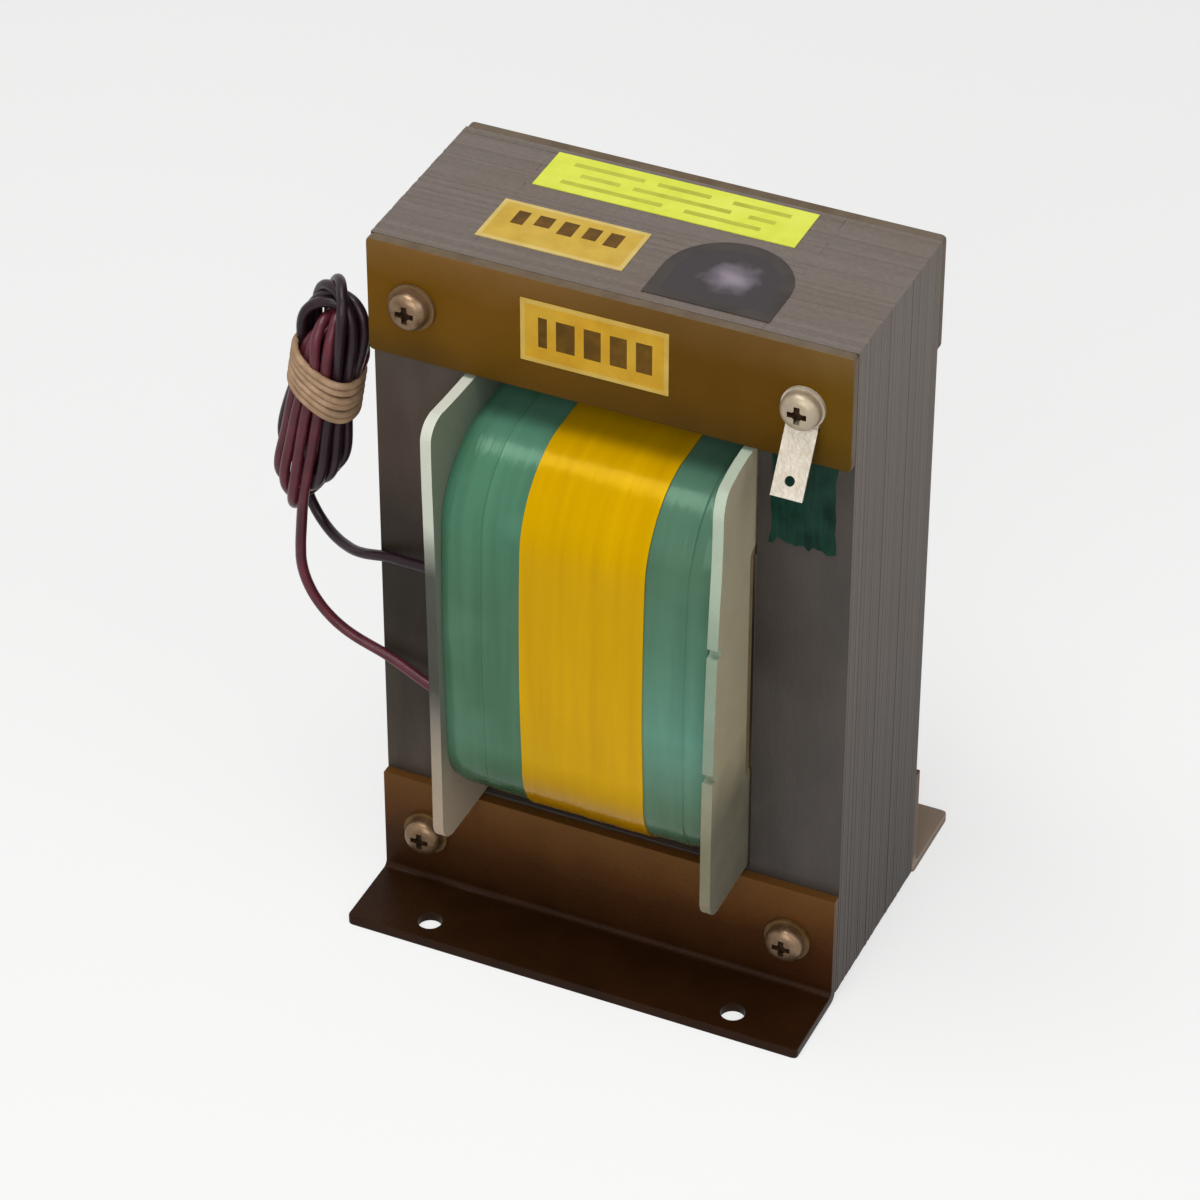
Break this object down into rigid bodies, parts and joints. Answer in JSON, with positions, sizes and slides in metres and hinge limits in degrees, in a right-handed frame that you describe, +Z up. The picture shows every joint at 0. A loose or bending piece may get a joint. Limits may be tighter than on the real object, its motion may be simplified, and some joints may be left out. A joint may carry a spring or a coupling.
{
  "type": "transformer",
  "caption": "Upright laminated-core mains transformer with a taped coil, angle-bracket feet, an earth tag and a folded pair of primary leads.",
  "frame": {"origin": "middle of the footprint, on the surface that the feet stand on", "axes": "+X along the coil's axis to the right, -Y towards the side with the leads and the earth tag, +Z up"},
  "size_m": [0.1317, 0.089, 0.1697],
  "materials": {
    "lamination_steel": "varnished sheet steel, edges showing",
    "bronze_steel": "brown varnished steel, semi-gloss",
    "zinc_steel": "zinc plated",
    "tinned_brass": "tinned",
    "pressboard": "matt fibre board",
    "insulating_paper": "varnished paper",
    "magnet_wire": "enamelled copper wire",
    "green_tape": "polyester tape, glossy",
    "yellow_tape": "polyester tape, glossy",
    "lime_label": "coated paper label",
    "amber_label": "coated paper label",
    "black_label": "glossy film label",
    "green_label": "film label",
    "red_insulation": "soft PVC",
    "black_insulation": "soft PVC",
    "rubber_tie": "natural rubber band"
  },
  "bodies": {
    "root": {"core_e_left": "lamination_steel", "core_i_right": "lamination_steel", "core_e_right": "lamination_steel", "core_i_left": "lamination_steel", "coil_former": "insulating_paper", "left_flange": "pressboard", "right_flange": "pressboard", "primary_winding": "magnet_wire", "winding_insulation": "insulating_paper", "secondary_winding": "magnet_wire", "green_wrap": "green_tape", "yellow_band": "yellow_tape", "front_bracket": "bronze_steel", "rear_bracket": "bronze_steel", "front_top_clamp": "bronze_steel", "rear_top_clamp": "bronze_steel", "core_screws": "zinc_steel", "screw_sleeves": "insulating_paper", "front_washers": "zinc_steel", "rear_washers": "zinc_steel", "lock_washers": "zinc_steel", "hex_nuts": "zinc_steel", "earth_tag": "tinned_brass", "rating_label": "lime_label", "top_label": "amber_label", "front_label": "amber_label", "half_round_label": "black_label", "earth_label": "green_label", "red_lead": "red_insulation", "black_lead": "black_insulation", "lead_hank": "red_insulation", "hank_tie": "rubber_tie"}
  },
  "joints": []
}
